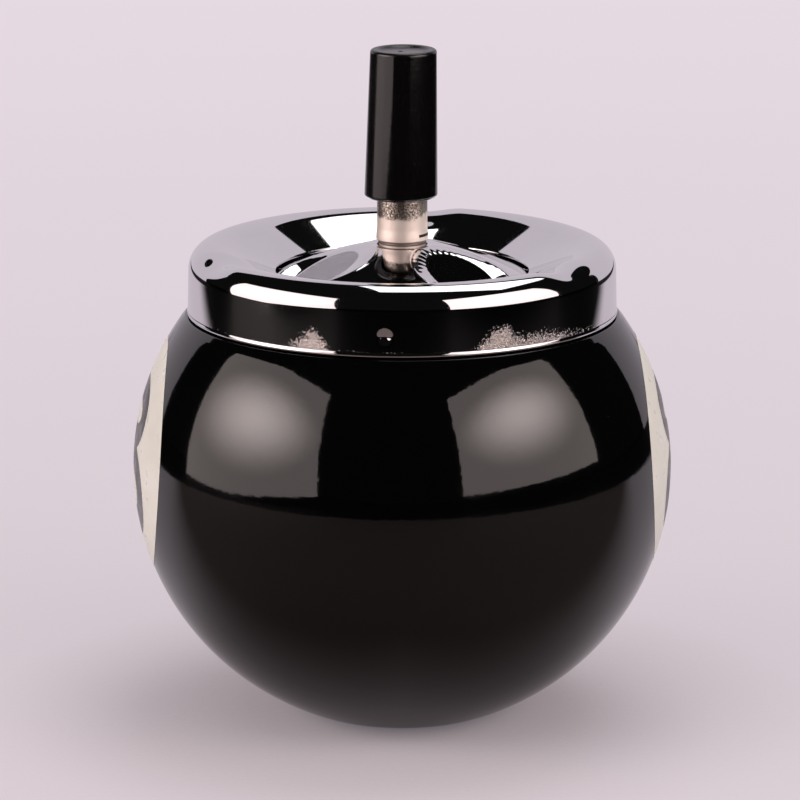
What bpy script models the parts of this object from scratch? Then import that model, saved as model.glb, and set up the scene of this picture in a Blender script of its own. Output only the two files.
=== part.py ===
"""Push-down spinning ashtray shaped like a black pool ball.

A pressed ball-shaped bowl carries a lift-off chromed lid. Pushing the knob sends the tray down on a
twisted spindle, which turns it in a slotted nut under the lid, and a coil spring brings it back up.
All sizes are in millimetres and the object stands on z = 0, centred on the z axis.
"""

import math

import bmesh
import bpy

MM = 0.001
TURN = 2 * math.pi

# Clearances
FIT = 0.3  # between two pieces that are fastened together
RUN = 0.4  # between two pieces that slide or turn on each other

# Ball
BALL_RADIUS = 55.0
BALL_HALF_HEIGHT = 54.0
BALL_BASE_CUT = 3.0  # how far the flat base cuts up into the ball
BALL_WALL = 0.8
BASE_ROUND_ACROSS = 1.7
NECK_HEIGHT = 7.8
SHELF_WIDTH = 0.63  # ledge round the lid that its edge stands on

# Lid rim
RIM_RADIUS = 43.6
RIM_WALL = 0.8
RIM_HEIGHT = 13.6
SHOULDER_ACROSS = 4.6
SHOULDER_DOWN = 4.7
FUNNEL_ROUND = 10.0  # radius of the bend from the crest down into the funnel
FUNNEL_SLOPE = 25.0
FUNNEL_LENGTH = 10.1  # straight part of the funnel's wall, along its slope
REST_ANGLES = (54.0, 174.0, -66.0)  # cigarette rests, degrees from the front towards +X
REST_DEPTH = 1.6
REST_WIDTH = 16.0
REST_FACE_HEIGHT = 6.5  # how far down the side and the funnel a rest fades out
DIMPLE_ANGLES = (-4.5, 115.5, -124.5)
DIMPLE_HEIGHT = 4.0
DIMPLE_RADIUS = 1.7
DIMPLE_DEPTH = 0.45

# Tray
TRAY_OVERLAP = 2.6  # how far the tray reaches under the funnel's lip
TRAY_WALL = 0.6
TRAY_HUB_RISE = 0.2
TRAY_HUB_RADIUS = 6.6
TRAY_DROP = 5.83  # from the hub to the edge, were the tray a straight cone
TRAY_SAG = 1.63  # how much steeper it gets towards the edge
TRAY_HEM = 1.1
WELL_ANGLES = (47.0, 167.0, -73.0)
WELL_MARGIN = 0.6
WELL_INSET = 1.0
WELL_LIP = 2.4
WELL_DEPTH = 3.1
WELL_TILT = 0.45  # share of the tray's slope kept by the floor of a well

# Sleeve, knob and the pieces that hold them together
SLEEVE_RADIUS = 5.1
SLEEVE_BORE = 4.25
SLEEVE_HEIGHT = 26.8
SPIGOT_RADIUS = 4.75
SPIGOT_LENGTH = 5.9
COLLAR_RADIUS = 5.4
BEAD_HEIGHT = 2.7
KNOB_HEIGHT = 29.5
KNOB_BOTTOM_RADIUS = 7.2
KNOB_TOP_RADIUS = 6.6
KNOB_EDGE_RADIUS = 0.9
KNOB_CROWN = 5.9
KNOB_HEAD_ROOM = 1.3
PLUG_HEIGHT = 4.4
PLUG_NECK_RADIUS = 1.8
PLUG_HEAD_RADIUS = 3.1
PLUG_HEAD_HEIGHT = 1.3
THRUST_THICKNESS = 0.5
BUSH_HEIGHT = 3.0
HUB_WASHER_RADIUS = 5.9
HUB_WASHER_THICKNESS = 0.5
HUB_NUT_CORNER_RADIUS = 6.2
HUB_NUT_HEIGHT = 3.0

# Spindle: a flat bar with a left-hand twist, so that a push turns the tray anticlockwise from above
SPINDLE_WIDTH = 4.8
SPINDLE_THICKNESS = 1.6
SPINDLE_LEAD = 24.0
SPINDLE_STEPS_PER_TURN = 32
SPINDLE_TAIL = 3.2
PIN_RADIUS = 0.6
CLIP_RADIUS = 4.0
CLIP_THICKNESS = 1.3

# Bridge under the lid, with the nut that the spindle runs through
BRIDGE_ANGLE = 86.0
BRIDGE_WIDTH = 15.0
BRIDGE_THICKNESS = 1.4
BRIDGE_DROP = 35.1
BRIDGE_FOOT_START = 2.0  # degrees from the crest, round the bend that the feet lie against
BRIDGE_BEND = 4.0
BRIDGE_HOLE_RADIUS = 3.3
CAGE_LENGTH = 25.0
CAGE_WIDTH = 12.4
CAGE_WALL = 0.7
DRIVE_NUT_RADIUS = 5.2
DRIVE_NUT_HEIGHT = 3.4
RIVET_SPACING = 19.0
RIVET_RADIUS = 0.95
RIVET_HEAD_RADIUS = 1.9
RIVET_HEAD_HEIGHT = 0.9
SEAT_RADIUS = 4.8
SEAT_THICKNESS = 0.6

# Return spring
WIRE_RADIUS = 0.4
SPRING_RADIUS = 3.4
SPRING_TURNS = 10
SPRING_END_RISE = 0.95

# Radii and heights that follow from the sizes above
FUNNEL_RISE = math.sin(math.radians(FUNNEL_SLOPE))
FUNNEL_REACH = math.cos(math.radians(FUNNEL_SLOPE))
CREST_RADIUS = RIM_RADIUS - SHOULDER_ACROSS
LIP_RADIUS = CREST_RADIUS - FUNNEL_ROUND * FUNNEL_RISE - FUNNEL_LENGTH * FUNNEL_REACH
TRAY_RADIUS = LIP_RADIUS + TRAY_OVERLAP
NECK_RADIUS = RIM_RADIUS - RIM_WALL - RUN
WELL_DISTANCE = (TRAY_RADIUS + TRAY_HUB_RADIUS) / 2 - WELL_INSET
WELL_RADIUS = (TRAY_RADIUS - TRAY_HUB_RADIUS) / 2 - WELL_MARGIN
HUB_BORE = SPIGOT_RADIUS + FIT
KNOB_BORE = SLEEVE_RADIUS + RUN
CAGE_BORE = DRIVE_NUT_RADIUS + RUN
PLUG_RADIUS = SLEEVE_BORE - FIT
PLUG_SOCKET = SPINDLE_WIDTH / 2 + 0.5

BALL_CENTRE_Z = BALL_HALF_HEIGHT - BALL_BASE_CUT
SHELF_Z = BALL_CENTRE_Z + BALL_HALF_HEIGHT * math.sqrt(1 - ((RIM_RADIUS + SHELF_WIDTH) / BALL_RADIUS) ** 2)
RIM_BOTTOM_Z = SHELF_Z + RUN
RIM_CREST_Z = RIM_BOTTOM_Z + RIM_HEIGHT
LIP_Z = RIM_CREST_Z - FUNNEL_ROUND * (1 - FUNNEL_REACH) - FUNNEL_LENGTH * FUNNEL_RISE
DIMPLE_Z = RIM_BOTTOM_Z + DIMPLE_HEIGHT
BRIDGE_FLOOR_Z = RIM_CREST_Z - BRIDGE_DROP
BRIDGE_FLOOR_TOP_Z = BRIDGE_FLOOR_Z + BRIDGE_THICKNESS
DRIVE_NUT_Z = BRIDGE_FLOOR_TOP_Z + FIT
CAGE_TOP_Z = DRIVE_NUT_Z + DRIVE_NUT_HEIGHT + RUN + CAGE_WALL
SEAT_Z = CAGE_TOP_Z + FIT
CLIP_Z = BRIDGE_FLOOR_Z - RUN - CLIP_THICKNESS
SPINDLE_BOTTOM_Z = BRIDGE_FLOOR_Z - SPINDLE_TAIL
TRAY_HUB_Z = RIM_CREST_Z + TRAY_HUB_RISE
HUB_WASHER_Z = TRAY_HUB_Z - TRAY_WALL - FIT - HUB_WASHER_THICKNESS - 0.2
HUB_NUT_Z = HUB_WASHER_Z - FIT - HUB_NUT_HEIGHT
COLLAR_Z = TRAY_HUB_Z + FIT
BEAD_Z = TRAY_HUB_Z + BEAD_HEIGHT
SPIGOT_BOTTOM_Z = TRAY_HUB_Z - SPIGOT_LENGTH
SLEEVE_TOP_Z = TRAY_HUB_Z + SLEEVE_HEIGHT
PLUG_BOTTOM_Z = SLEEVE_TOP_Z - PLUG_HEIGHT
PIN_Z = PLUG_BOTTOM_Z + 1.6
THRUST_Z = SLEEVE_TOP_Z + FIT
BUSH_Z = THRUST_Z + THRUST_THICKNESS + FIT
PLUG_HEAD_Z = BUSH_Z + BUSH_HEIGHT + RUN
KNOB_BORE_TOP_Z = PLUG_HEAD_Z + PLUG_HEAD_HEIGHT + KNOB_HEAD_ROOM
KNOB_TOP_Z = KNOB_BORE_TOP_Z + KNOB_CROWN
KNOB_BOTTOM_Z = KNOB_TOP_Z - KNOB_HEIGHT

BLACK_ENAMEL = ("black_enamel", (0.006, 0.006, 0.007), 0.0, 0.06)
CHROME = ("chrome", (0.72, 0.72, 0.74), 1.0, 0.06)
BLACK_PLASTIC = ("black_plastic", (0.010, 0.010, 0.011), 0.0, 0.22)
NICKEL = ("nickel", (0.68, 0.62, 0.54), 1.0, 0.24)
ZINC = ("zinc", (0.52, 0.52, 0.50), 1.0, 0.38)
BRASS = ("brass", (0.66, 0.46, 0.20), 1.0, 0.28)
SPRING_STEEL = ("spring_steel", (0.42, 0.42, 0.43), 1.0, 0.30)
NYLON = ("nylon", (0.72, 0.70, 0.64), 0.0, 0.45)


def new_collection(name):
    collection = bpy.data.collections.new(name)
    bpy.context.scene.collection.children.link(collection)
    return collection


def material(name, colour, metallic, roughness):
    """The material of this name, made at its first use."""
    made = bpy.data.materials.get(name)
    if made is None:
        made = bpy.data.materials.new(name)
        made.use_nodes = True
        shader = made.node_tree.nodes["Principled BSDF"]
        shader.inputs["Base Color"].default_value = (*colour, 1)
        shader.inputs["Metallic"].default_value = metallic
        shader.inputs["Roughness"].default_value = roughness
        made.diffuse_color = (*colour, 1)
    return made


def add_object(name, data, finish):
    """A named piece of the ashtray, or a cutter when it has no finish."""
    obj = bpy.data.objects.new(name, data)
    (PIECES if finish else CUTTERS).objects.link(obj)
    if finish:
        data.materials.append(material(*finish))
    else:
        obj.hide_render = True
        obj.display_type = "WIRE"
    return obj


def mesh_from(name, bm, smooth):
    mesh = bpy.data.meshes.new(name)
    bm.to_mesh(mesh)
    bm.free()
    for polygon in mesh.polygons:
        polygon.use_smooth = smooth
    return mesh


def chain(bm, profile, closed):
    points = [bm.verts.new((radius * MM, 0, z * MM)) for radius, z in profile]
    edges = [bm.edges.new(pair) for pair in zip(points, points[1:])]
    if closed:
        edges.append(bm.edges.new((points[-1], points[0])))
    return points, edges


def turned(name, profile, steps, finish, closed=False, place=(0, 0)):
    """A piece turned about a vertical axis at place. The profile runs out and down its outer side."""
    bm = bmesh.new()
    chain(bm, profile, closed)
    obj = add_object(name, mesh_from(name, bm, True), finish)
    obj.location = (place[0] * MM, place[1] * MM, 0)
    screw = obj.modifiers.new("Turn", "SCREW")
    screw.steps = screw.render_steps = steps
    screw.use_merge_vertices = True
    screw.merge_threshold = 0.00001
    screw.use_smooth_shade = True
    return obj


def ring(name, outer, bore, bottom, height, steps, finish, place=(0, 0)):
    top = bottom + height
    profile = [(outer, top), (outer, bottom), (bore, bottom), (bore, top)]
    return turned(name, profile, steps, finish, True, place)


def pressed(name, profile, steps, wall, finish, press, gather=None):
    """A piece of sheet metal: the turned outer face, pressed to shape, then thickened inwards."""
    bm = bmesh.new()
    points, edges = chain(bm, profile, False)
    bmesh.ops.spin(
        bm, geom=points + edges, cent=(0, 0, 0), axis=(0, 0, 1), angle=TURN, steps=steps, use_merge=True
    )
    bmesh.ops.remove_doubles(bm, verts=bm.verts, dist=0.000001)
    for vert in bm.verts:
        radius = math.hypot(vert.co.x, vert.co.y) / MM
        angle = math.atan2(vert.co.x, -vert.co.y)
        if gather:
            angle = gather(angle)
        x, y = radius * math.sin(angle), -radius * math.cos(angle)
        vert.co = (x * MM, y * MM, press(x, y, vert.co.z / MM) * MM)
    bmesh.ops.recalc_face_normals(bm, faces=bm.faces)
    highest = max(bm.faces, key=lambda face: abs(face.normal.z) * (face.calc_center_median().z + 1))
    if (highest.normal.z < 0) == (highest.calc_center_median().z > BALL_CENTRE_Z * MM):
        bmesh.ops.reverse_faces(bm, faces=bm.faces)
    obj = add_object(name, mesh_from(name, bm, True), finish)
    solidify = obj.modifiers.new("Wall", "SOLIDIFY")
    solidify.thickness = wall * MM
    solidify.offset = -1
    solidify.use_even_offset = True
    return obj


def boolean(obj, other, operation):
    modifier = obj.modifiers.new(operation.title(), "BOOLEAN")
    modifier.object = other
    modifier.operation = operation
    modifier.solver = "EXACT"


def rod(name, radius, bottom, top, finish=None, place=(0, 0), steps=24):
    profile = [(0, top), (radius, top), (radius, bottom), (0, bottom)]
    return turned(name, profile, steps, finish, place=place)


def twist_at(z):
    """How far the spindle's section has turned at this height."""
    return -TURN * z / SPINDLE_LEAD


def twisted_bar(name, width, thickness, bottom, top, finish):
    bm = bmesh.new()
    bmesh.ops.create_cube(bm, size=1)
    upright = [e for e in bm.edges if abs(e.verts[0].co.z - e.verts[1].co.z) > 0.5]
    cuts = round((top - bottom) / SPINDLE_LEAD * SPINDLE_STEPS_PER_TURN)
    bmesh.ops.subdivide_edges(bm, edges=upright, cuts=cuts, use_grid_fill=True)
    for vert in bm.verts:
        z = bottom + (vert.co.z + 0.5) * (top - bottom)
        turn = twist_at(z)
        x, y = vert.co.x * width, vert.co.y * thickness
        vert.co = (
            (x * math.cos(turn) - y * math.sin(turn)) * MM,
            (x * math.sin(turn) + y * math.cos(turn)) * MM,
            z * MM,
        )
    return add_object(name, mesh_from(name, bm, False), finish)


def slot_cutter(name, bottom, height, clearance):
    """The twisted slot that the spindle runs through, cut right through a piece of this height."""
    width, thickness = SPINDLE_WIDTH + 2 * clearance, SPINDLE_THICKNESS + 2 * clearance
    return twisted_bar(name, width, thickness, bottom - 1, bottom + height + 1, None)


def pin_along(name, radius, length, z, finish, steps=16):
    """A round pin lying across the spindle's flat faces."""
    bm = bmesh.new()
    bmesh.ops.create_cone(
        bm, cap_ends=True, segments=steps, radius1=radius * MM, radius2=radius * MM, depth=length * MM
    )
    obj = add_object(name, mesh_from(name, bm, True), finish)
    obj.data.set_sharp_from_angle(angle=math.radians(35))
    obj.location = (0, 0, z * MM)
    obj.rotation_euler = (math.pi / 2, 0, twist_at(z))
    return obj


def smoothstep(value):
    value = min(max(value, 0), 1)
    return value * value * (3 - 2 * value)


def arc(centre, across, down, start, end, count):
    """Points of an ellipse's arc, from start to end degrees above the outward direction."""
    points = []
    for i in range(count + 1):
        angle = math.radians(start + (end - start) * i / count)
        points.append((centre[0] + across * math.cos(angle), centre[1] + down * math.sin(angle)))
    return points


# ---- Bowl -------------------------------------------------------------------


def ball_radius_at(z):
    return BALL_RADIUS * math.sqrt(1 - ((z - BALL_CENTRE_Z) / BALL_HALF_HEIGHT) ** 2)


def build_bowl():
    shelf_radius = ball_radius_at(SHELF_Z)
    profile = [(NECK_RADIUS, SHELF_Z + NECK_HEIGHT), (NECK_RADIUS, SHELF_Z + 0.3)]
    profile += [(NECK_RADIUS + 0.4, SHELF_Z), (shelf_radius - 0.5, SHELF_Z), (shelf_radius, SHELF_Z - 0.5)]
    start = math.asin((SHELF_Z - 2.6 - BALL_CENTRE_Z) / BALL_HALF_HEIGHT)
    end = -math.asin((BALL_CENTRE_Z - 0.9) / BALL_HALF_HEIGHT)
    for i in range(14):
        angle = start + (end - start) * i / 13
        height = BALL_CENTRE_Z + BALL_HALF_HEIGHT * math.sin(angle)
        profile.append((BALL_RADIUS * math.cos(angle), height))
    flat = ball_radius_at(0) - BASE_ROUND_ACROSS
    profile += [(flat + 0.7 * BASE_ROUND_ACROSS, 0.2), (flat, 0), (0, 0)]
    return pressed("ball_bowl", profile, 54, BALL_WALL, BLACK_ENAMEL, lambda x, y, z: z)


# ---- Lid --------------------------------------------------------------------


def gather_at_rests(angle):
    """Angles moved closer together at the rests, where the rim's shape changes most."""
    return angle - 0.15 * math.sin(3 * (angle - math.radians(REST_ANGLES[0])))


def press_rests(x, y, z):
    """The height of the rim's face at x, y once the rests are pressed into it."""
    share = smoothstep((z - RIM_CREST_Z + REST_FACE_HEIGHT) / (REST_FACE_HEIGHT - 0.6))
    depth = 0
    for degrees in REST_ANGLES:
        angle = math.radians(degrees)
        along = x * math.sin(angle) - y * math.cos(angle)
        aside = x * math.cos(angle) + y * math.sin(angle)
        if along > 0 and abs(aside) < REST_WIDTH / 2:
            depth += REST_DEPTH * math.cos(math.pi * aside / REST_WIDTH) ** 2
    return z - depth * share


def build_rim():
    shoulder = (CREST_RADIUS, RIM_CREST_Z - SHOULDER_DOWN)
    profile = [(LIP_RADIUS, LIP_Z - 0.5), (LIP_RADIUS + 0.15, LIP_Z + 0.1)]
    for along in (FUNNEL_LENGTH / 3, 2 * FUNNEL_LENGTH / 3):
        profile.append((LIP_RADIUS + along * FUNNEL_REACH, LIP_Z + along * FUNNEL_RISE))
    bend = (CREST_RADIUS, RIM_CREST_Z - FUNNEL_ROUND)
    profile += arc(bend, FUNNEL_ROUND, FUNNEL_ROUND, 90 + FUNNEL_SLOPE, 90, 5)[:-1]
    profile += arc(shoulder, SHOULDER_ACROSS, SHOULDER_DOWN, 90, 0, 6)
    profile += [(RIM_RADIUS, DIMPLE_Z), (RIM_RADIUS, RIM_BOTTOM_Z)]
    rim = pressed("rim_ring", profile, 72, RIM_WALL, CHROME, press_rests, gather_at_rests)
    for i, degrees in enumerate(DIMPLE_ANGLES):
        angle = math.radians(degrees)
        bm = bmesh.new()
        bmesh.ops.create_uvsphere(bm, u_segments=16, v_segments=10, radius=DIMPLE_RADIUS * MM)
        cutter = add_object(f"dimple_cutter_{i + 1}", mesh_from("dimple_cutter", bm, True), None)
        reach = RIM_RADIUS - DIMPLE_DEPTH + DIMPLE_RADIUS
        cutter.location = (reach * math.sin(angle) * MM, -reach * math.cos(angle) * MM, DIMPLE_Z * MM)
        boolean(rim, cutter, "DIFFERENCE")


def turned_by(obj, degrees):
    obj.rotation_euler = (0, 0, math.radians(degrees))
    return obj


def build_bridge():
    """A strap bent down under the lid: two feet, two arms and a floor, with holes through the floor."""
    half = BRIDGE_THICKNESS / 2
    arm = TRAY_RADIUS + 2 * RUN + 1.2 + half
    floor_z = BRIDGE_FLOOR_Z + half
    bend = (CREST_RADIUS, RIM_CREST_Z - FUNNEL_ROUND)
    foot_round = FUNNEL_ROUND - RIM_WALL - FIT - half
    side = arc(bend, foot_round, foot_round, 90 + BRIDGE_FOOT_START, 90 + FUNNEL_SLOPE, 4)
    corner_z = side[-1][1] - (side[-1][0] - arm) * FUNNEL_RISE / FUNNEL_REACH
    side += [(arm + 0.8 * FUNNEL_REACH, corner_z + 0.8 * FUNNEL_RISE), (arm, corner_z - 0.8)]
    side += [(arm, floor_z + BRIDGE_BEND), (arm - 0.3 * BRIDGE_BEND, floor_z + 0.3 * BRIDGE_BEND)]
    side += [(arm - BRIDGE_BEND, floor_z)]
    line = side + [(-x, z) for x, z in reversed(side)]
    bm = bmesh.new()
    rows = []
    for y in (-BRIDGE_WIDTH / 2, BRIDGE_WIDTH / 2):
        rows.append([bm.verts.new((x * MM, y * MM, z * MM)) for x, z in line])
    for i in range(len(line) - 1):
        bm.faces.new((rows[0][i], rows[0][i + 1], rows[1][i + 1], rows[1][i]))
    strap = add_object("bridge_strap", mesh_from("bridge_strap", bm, False), ZINC)
    solidify = strap.modifiers.new("Wall", "SOLIDIFY")
    solidify.thickness = BRIDGE_THICKNESS * MM
    solidify.offset = 0
    solidify.use_even_offset = True
    turned_by(strap, BRIDGE_ANGLE - 90)
    low, high = BRIDGE_FLOOR_Z - 1, BRIDGE_FLOOR_TOP_Z + 1
    boolean(strap, rod("bridge_hole_cutter", BRIDGE_HOLE_RADIUS, low, high), "DIFFERENCE")
    for i, place in enumerate(rivet_places()):
        cutter = rod(f"bridge_rivet_cutter_{i + 1}", RIVET_RADIUS + FIT, low, high, None, place, 16)
        boolean(strap, cutter, "DIFFERENCE")


def rivet_places():
    angle = math.radians(BRIDGE_ANGLE - 90)
    reach = RIVET_SPACING / 2
    return [(side * reach * math.cos(angle), side * reach * math.sin(angle)) for side in (-1, 1)]


def build_cage():
    """The cup that holds the nut down on the bridge, with a flange for two rivets."""
    bottom = BRIDGE_FLOOR_TOP_Z + FIT
    bm = bmesh.new()
    bmesh.ops.create_cube(bm, size=1)
    for vert in bm.verts:
        vert.co.x *= CAGE_LENGTH * MM
        vert.co.y *= CAGE_WIDTH * MM
        vert.co.z = (bottom + CAGE_WALL * (vert.co.z + 0.5)) * MM
    corners = [e for e in bm.edges if abs(e.verts[0].co.z - e.verts[1].co.z) > CAGE_WALL * MM / 2]
    bmesh.ops.bevel(bm, geom=corners, offset=2.4 * MM, segments=3, profile=0.5, affect="EDGES")
    cage = add_object("nut_cage", mesh_from("nut_cage", bm, False), ZINC)
    turned_by(cage, BRIDGE_ANGLE - 90)
    outer = CAGE_BORE + CAGE_WALL
    foot = bottom + CAGE_WALL / 2
    cup = [(0, CAGE_TOP_Z), (outer - 0.5, CAGE_TOP_Z), (outer, CAGE_TOP_Z - 0.5), (outer, foot), (0, foot)]
    boolean(cage, turned("cage_cup", cup, 32, None), "UNION")
    hollow = CAGE_TOP_Z - CAGE_WALL
    boolean(cage, rod("cage_hollow_cutter", CAGE_BORE, bottom - 1, hollow, steps=32), "DIFFERENCE")
    hole = rod("cage_hole_cutter", BRIDGE_HOLE_RADIUS, hollow - 1, CAGE_TOP_Z + 1)
    boolean(cage, hole, "DIFFERENCE")
    for i, place in enumerate(rivet_places()):
        name = f"cage_rivet_cutter_{i + 1}"
        cutter = rod(name, RIVET_RADIUS + FIT, bottom - 1, bottom + CAGE_WALL + 1, None, place, 16)
        boolean(cage, cutter, "DIFFERENCE")


def build_rivets():
    low = BRIDGE_FLOOR_Z - FIT
    high = BRIDGE_FLOOR_TOP_Z + FIT + CAGE_WALL + FIT
    head = [(0, high + RIVET_HEAD_HEIGHT), (1.1, high + 0.8 * RIVET_HEAD_HEIGHT)]
    head += [(RIVET_HEAD_RADIUS, high + 0.2), (RIVET_HEAD_RADIUS, high), (RIVET_RADIUS, high)]
    tail = [(RIVET_RADIUS, low), (RIVET_HEAD_RADIUS, low), (RIVET_HEAD_RADIUS, low - 0.2)]
    tail += [(1.1, low - 0.8 * RIVET_HEAD_HEIGHT), (0, low - RIVET_HEAD_HEIGHT)]
    for side, place in zip(("left", "right"), rivet_places()):
        turned(f"cage_rivet_{side}", head + tail, 12, ZINC, place=place)


def build_drive_nut():
    nut = rod("drive_nut", DRIVE_NUT_RADIUS, DRIVE_NUT_Z, DRIVE_NUT_Z + DRIVE_NUT_HEIGHT, BRASS)
    boolean(nut, slot_cutter("drive_slot_cutter", DRIVE_NUT_Z, DRIVE_NUT_HEIGHT, RUN), "DIFFERENCE")


# ---- Tray and what turns with it ----------------------------------------------


def tray_height(radius):
    out = max(radius - TRAY_HUB_RADIUS, 0) / (TRAY_RADIUS - TRAY_HUB_RADIUS)
    return TRAY_HUB_Z - TRAY_DROP * out - TRAY_SAG * out * out


def press_wells(x, y, z):
    """The height of the tray's face at x, y once its three wells are pressed into it."""
    radius = math.hypot(x, y)
    if radius > TRAY_RADIUS - 0.01:
        return z
    centre_z = tray_height(WELL_DISTANCE)
    for degrees in WELL_ANGLES:
        angle = math.radians(degrees)
        away = math.hypot(x - WELL_DISTANCE * math.sin(angle), y + WELL_DISTANCE * math.cos(angle))
        share = smoothstep((WELL_RADIUS - away) / WELL_LIP)
        floor = centre_z - WELL_DEPTH + WELL_TILT * (z - centre_z)
        z += share * (floor - z)
    return z


def build_tray():
    profile = [(HUB_BORE, TRAY_HUB_Z)]
    for i in range(14):
        radius = TRAY_HUB_RADIUS + (TRAY_RADIUS - TRAY_HUB_RADIUS) * i / 13
        profile.append((radius, tray_height(radius)))
    edge_z = tray_height(TRAY_RADIUS)
    profile += [(TRAY_RADIUS + 0.3, edge_z - 0.4), (TRAY_RADIUS + 0.3, edge_z - TRAY_HEM)]
    pressed("tray", profile, 54, TRAY_WALL, CHROME, press_wells)


def build_sleeve():
    outside = [(SLEEVE_RADIUS, SLEEVE_TOP_Z), (SLEEVE_RADIUS, BEAD_Z + 0.7)]
    outside += [(SLEEVE_RADIUS + 0.25, BEAD_Z + 0.35), (SLEEVE_RADIUS + 0.25, BEAD_Z - 0.1)]
    outside += [(SLEEVE_RADIUS - 0.1, BEAD_Z - 0.6), (SLEEVE_RADIUS - 0.1, COLLAR_Z + 0.9)]
    outside += [(COLLAR_RADIUS, COLLAR_Z + 0.6), (COLLAR_RADIUS, COLLAR_Z)]
    outside += [(SPIGOT_RADIUS, COLLAR_Z), (SPIGOT_RADIUS, SPIGOT_BOTTOM_Z)]
    inside = [(SLEEVE_BORE, SPIGOT_BOTTOM_Z), (SLEEVE_BORE, SLEEVE_TOP_Z)]
    turned("sleeve", outside + inside, 36, NICKEL, True)


def build_hub():
    bore = HUB_BORE
    ring("hub_washer", HUB_WASHER_RADIUS, bore, HUB_WASHER_Z, HUB_WASHER_THICKNESS, 28, ZINC)
    bm = bmesh.new()
    radius = HUB_NUT_CORNER_RADIUS * MM
    bmesh.ops.create_cone(
        bm, cap_ends=True, segments=6, radius1=radius, radius2=radius, depth=HUB_NUT_HEIGHT * MM
    )
    nut = add_object("hub_nut", mesh_from("hub_nut", bm, False), ZINC)
    nut.location = (0, 0, (HUB_NUT_Z + HUB_NUT_HEIGHT / 2) * MM)
    cutter = rod("hub_nut_cutter", bore, HUB_NUT_Z - 1, HUB_NUT_Z + HUB_NUT_HEIGHT + 1, steps=28)
    boolean(nut, cutter, "DIFFERENCE")


def build_plug():
    """The plug in the sleeve's top. Its neck runs in the knob's bush and its head holds the knob on."""
    head_top = PLUG_HEAD_Z + PLUG_HEAD_HEIGHT
    profile = [(0, head_top), (PLUG_HEAD_RADIUS - 0.5, head_top), (PLUG_HEAD_RADIUS, head_top - 0.5)]
    profile += [(PLUG_HEAD_RADIUS, PLUG_HEAD_Z), (PLUG_NECK_RADIUS, PLUG_HEAD_Z)]
    profile += [(PLUG_NECK_RADIUS, SLEEVE_TOP_Z), (PLUG_RADIUS, SLEEVE_TOP_Z), (PLUG_RADIUS, PLUG_BOTTOM_Z)]
    profile += [(PLUG_SOCKET, PLUG_BOTTOM_Z), (PLUG_SOCKET, SLEEVE_TOP_Z - 1.2), (0, SLEEVE_TOP_Z - 1.2)]
    plug = turned("sleeve_plug", profile, 28, ZINC)
    spindle = twisted_bar(
        "spindle", SPINDLE_WIDTH, SPINDLE_THICKNESS, SPINDLE_BOTTOM_Z, SLEEVE_TOP_Z - 1.2 - FIT, ZINC
    )
    hole = pin_along("pin_hole_cutter", PIN_RADIUS + FIT, 2 * PLUG_RADIUS + 4, PIN_Z, None)
    boolean(plug, hole, "DIFFERENCE")
    boolean(spindle, hole, "DIFFERENCE")
    pin_along("spindle_pin", PIN_RADIUS, 2 * PLUG_RADIUS - 0.4, PIN_Z, SPRING_STEEL)


def build_clip():
    clip = ring("spindle_clip", CLIP_RADIUS, 1.0, CLIP_Z, CLIP_THICKNESS, 24, ZINC)
    boolean(clip, slot_cutter("clip_slot_cutter", CLIP_Z, CLIP_THICKNESS, FIT), "DIFFERENCE")


# ---- Knob -----------------------------------------------------------------------


def build_knob():
    outside = [(0, KNOB_TOP_Z - 0.5), (4.4, KNOB_TOP_Z - 0.45), (5.4, KNOB_TOP_Z - 0.05)]
    edge = (KNOB_TOP_RADIUS - KNOB_EDGE_RADIUS, KNOB_TOP_Z - KNOB_EDGE_RADIUS)
    outside += arc(edge, KNOB_EDGE_RADIUS, KNOB_EDGE_RADIUS, 75, 0, 4)
    outside += [(KNOB_BOTTOM_RADIUS, KNOB_BOTTOM_Z + 0.5), (KNOB_BOTTOM_RADIUS - 0.4, KNOB_BOTTOM_Z)]
    inside = [(KNOB_BORE, KNOB_BOTTOM_Z), (KNOB_BORE, KNOB_BORE_TOP_Z), (0, KNOB_BORE_TOP_Z)]
    turned("knob", outside + inside, 40, BLACK_PLASTIC)
    ring("knob_bush", KNOB_BORE - FIT, PLUG_NECK_RADIUS + RUN, BUSH_Z, BUSH_HEIGHT, 28, NYLON)
    ring("thrust_washer", 4.7, PLUG_NECK_RADIUS + RUN, THRUST_Z, THRUST_THICKNESS, 28, BRASS)


# ---- Spring ---------------------------------------------------------------------


def build_spring():
    """A coil with a closed turn at each end, from its seat on the cage up to the plug."""
    low = SEAT_Z + SEAT_THICKNESS + FIT + WIRE_RADIUS
    high = PLUG_BOTTOM_Z - FIT - WIRE_RADIUS
    pitch = (high - low - 2 * SPRING_END_RISE) / (SPRING_TURNS - 2)
    per_turn = 12
    curve = bpy.data.curves.new("return_spring", "CURVE")
    curve.dimensions = "3D"
    curve.bevel_depth = WIRE_RADIUS * MM
    curve.bevel_resolution = 2
    curve.use_fill_caps = True
    coil = curve.splines.new("POLY")
    count = SPRING_TURNS * per_turn
    coil.points.add(count)
    for i in range(count + 1):
        turns = i / per_turn
        start = min(turns, 1) * SPRING_END_RISE
        middle = min(max(turns - 1, 0), SPRING_TURNS - 2) * pitch
        finish = max(turns - SPRING_TURNS + 1, 0) * SPRING_END_RISE
        x = SPRING_RADIUS * math.cos(TURN * turns)
        y = SPRING_RADIUS * math.sin(TURN * turns)
        coil.points[i].co = (x * MM, y * MM, (low + start + middle + finish) * MM, 1)
    add_object("return_spring", curve, SPRING_STEEL)
    ring("spring_seat", SEAT_RADIUS, BRIDGE_HOLE_RADIUS, SEAT_Z, SEAT_THICKNESS, 24, ZINC)


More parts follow.
